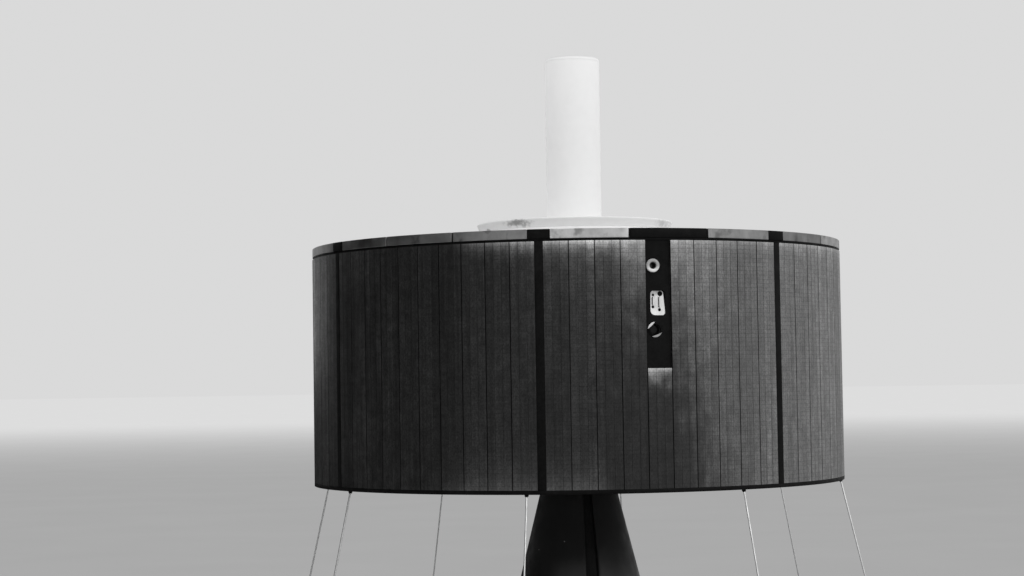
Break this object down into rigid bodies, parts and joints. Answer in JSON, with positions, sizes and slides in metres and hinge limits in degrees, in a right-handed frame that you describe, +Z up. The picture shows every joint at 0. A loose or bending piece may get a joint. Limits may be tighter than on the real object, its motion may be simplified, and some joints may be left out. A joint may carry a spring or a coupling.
{
  "type": "spin-stabilised communications satellite on display stand",
  "caption": "Short drum-shaped satellite with curved solar panels, a slot of sensors, a white post antenna on top and splayed whip antennas below, on a tapered dark stand.",
  "frame": {"origin": "centre of the stand's foot, on the floor", "axes": "+Z up along the drum's spin axis; -Y is the front, which the picture shows; +X is to its right"},
  "size_m": [1.615, 1.615, 2.147],
  "materials": {
    "solar_cells": "semi-gloss",
    "black_paint": "matte",
    "band_metal": "satin",
    "substrate": "matte",
    "deck_metal": "satin",
    "tube_metal": "satin",
    "bolt_steel": "satin",
    "motor_case": "satin",
    "cover_foil": "bright foil",
    "cover_metal": "satin",
    "antenna_white": "matte",
    "port_white": "satin",
    "port_metal": "satin",
    "sensor_metal": "satin",
    "lens_black": "gloss",
    "whip_metal": "satin",
    "stand_paint": "matte"
  },
  "bodies": {
    "root": {"aft_deck": "deck_metal", "antenna_cap": "antenna_white", "antenna_collar": "antenna_white", "antenna_tube": "antenna_white", "band_blank": "black_paint", "band_blocks": "black_paint", "band_segments": "band_metal", "bottom_rim": "black_paint", "cover_pan": "cover_metal", "cover_skirt": "cover_foil", "drum_shell": "substrate", "forward_deck": "deck_metal", "jet_nozzle": "port_metal", "jet_ring": "port_white", "joint_bolts": "bolt_steel", "motor_block": "motor_case", "panel_battens": "black_paint", "seam_ring": "black_paint", "sensor_block": "sensor_metal", "separation_ring": "tube_metal", "slot_plate": "black_paint", "solar_panel_1": "solar_cells", "solar_panel_2": "solar_cells", "solar_panel_3": "solar_cells", "solar_panel_4": "solar_cells", "solar_panel_5": "solar_cells", "solar_panel_6": "solar_cells", "solar_panel_7": "solar_cells", "stand_cladding": "stand_paint", "stand_core": "stand_paint", "stand_foot": "stand_paint", "stand_head": "stand_paint", "sun_disc": "lens_black", "sun_port_ring": "port_metal", "thrust_tube": "tube_metal", "whip_antennas": "whip_metal", "whip_roots": "whip_metal"}
  },
  "joints": []
}
